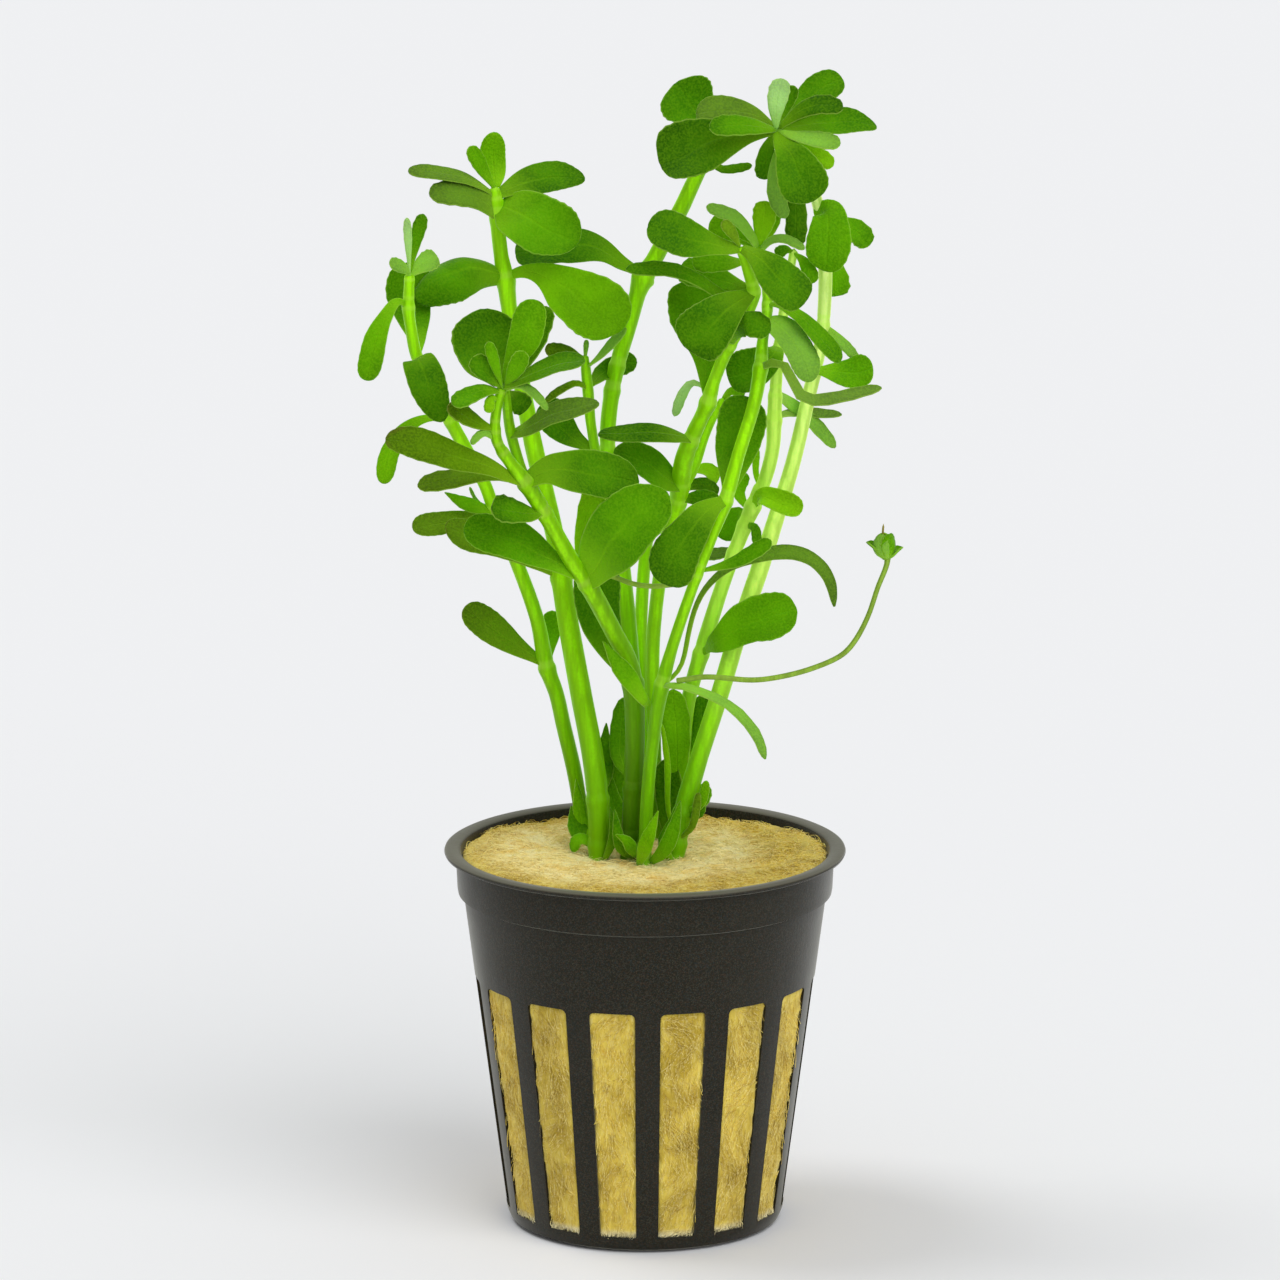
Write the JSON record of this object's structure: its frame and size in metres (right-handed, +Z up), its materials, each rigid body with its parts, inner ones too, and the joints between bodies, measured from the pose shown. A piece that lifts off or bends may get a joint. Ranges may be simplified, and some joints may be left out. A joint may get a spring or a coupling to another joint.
{
  "type": "potted moneywort",
  "caption": "Tuft of moneywort with soft stems and spoon-shaped leaves, rooted in a rockwool plug in a tapered black net pot with a lip and slotted sides.",
  "frame": {"origin": "centre of the pot's underside, on the surface that the pot stands on", "axes": "+Z up along the pot's axis; +Y away from the side that the picture shows; +X to that side's right"},
  "size_m": [0.0684, 0.0536, 0.1515],
  "materials": {
    "black_plastic": "satin black with a fine grain",
    "rockwool": "fibrous straw yellow",
    "stem_green": "soft, translucent lime green",
    "leaf_green": "soft green with a faint sheen",
    "brown_leaf": "olive green turning brown"
  },
  "bodies": {
    "root": {"pot": "black_plastic", "rockwool": "rockwool", "stem_branching": "stem_green", "stem_far_left": "stem_green", "stem_forked": "stem_green", "stem_front": "stem_green", "stem_hidden": "stem_green", "stem_left": "stem_green", "stem_long": "stem_green", "stem_middle_right": "stem_green", "stem_right": "stem_green", "stem_short": "stem_green", "bud_stalk": "stem_green", "flower_stalk": "stem_green", "leaf_branching_dark": "leaf_green", "leaf_branching_left": "leaf_green", "leaf_branching_low_left": "leaf_green", "leaf_branching_low_long": "leaf_green", "leaf_branching_top_left": "leaf_green", "leaf_branching_top_right": "leaf_green", "leaf_far_left_behind": "leaf_green", "leaf_far_left_brown": "brown_leaf", "leaf_far_left_front": "leaf_green", "leaf_far_left_hanging": "leaf_green", "leaf_far_left_hanging_low": "leaf_green", "leaf_far_left_low": "leaf_green", "leaf_forked_behind": "leaf_green", "leaf_forked_long_brown": "brown_leaf", "leaf_forked_low_left": "leaf_green", "leaf_forked_low_right": "leaf_green", "leaf_forked_middle_right": "leaf_green", "leaf_forked_side_right": "leaf_green", "leaf_forked_top_light": "leaf_green", "leaf_forked_top_right": "leaf_green", "leaf_forked_top_round": "leaf_green", "leaf_front_arching": "leaf_green", "leaf_front_behind": "leaf_green", "leaf_front_low": "leaf_green", "leaf_front_pale": "leaf_green", "leaf_front_strap": "leaf_green", "leaf_left_left_big": "leaf_green", "leaf_left_low": "leaf_green", "leaf_left_right_big": "leaf_green", "leaf_left_top_right": "leaf_green", "leaf_left_top_round": "leaf_green", "leaf_left_top_thin": "leaf_green", "leaf_left_top_upright": "leaf_green", "leaf_long_left": "leaf_green", "leaf_long_side": "leaf_green", "leaf_long_top": "leaf_green", "leaf_middle_right_behind": "leaf_green", "leaf_middle_right_folded": "leaf_green", "leaf_middle_right_low": "leaf_green", "leaf_right_hanging": "leaf_green", "leaf_right_middle": "leaf_green", "leaf_top_front": "leaf_green", "leaf_top_left_big": "leaf_green", "leaf_top_left_upper": "leaf_green", "leaf_top_right_long": "leaf_green", "leaf_top_right_upper": "leaf_green"}
  },
  "joints": []
}
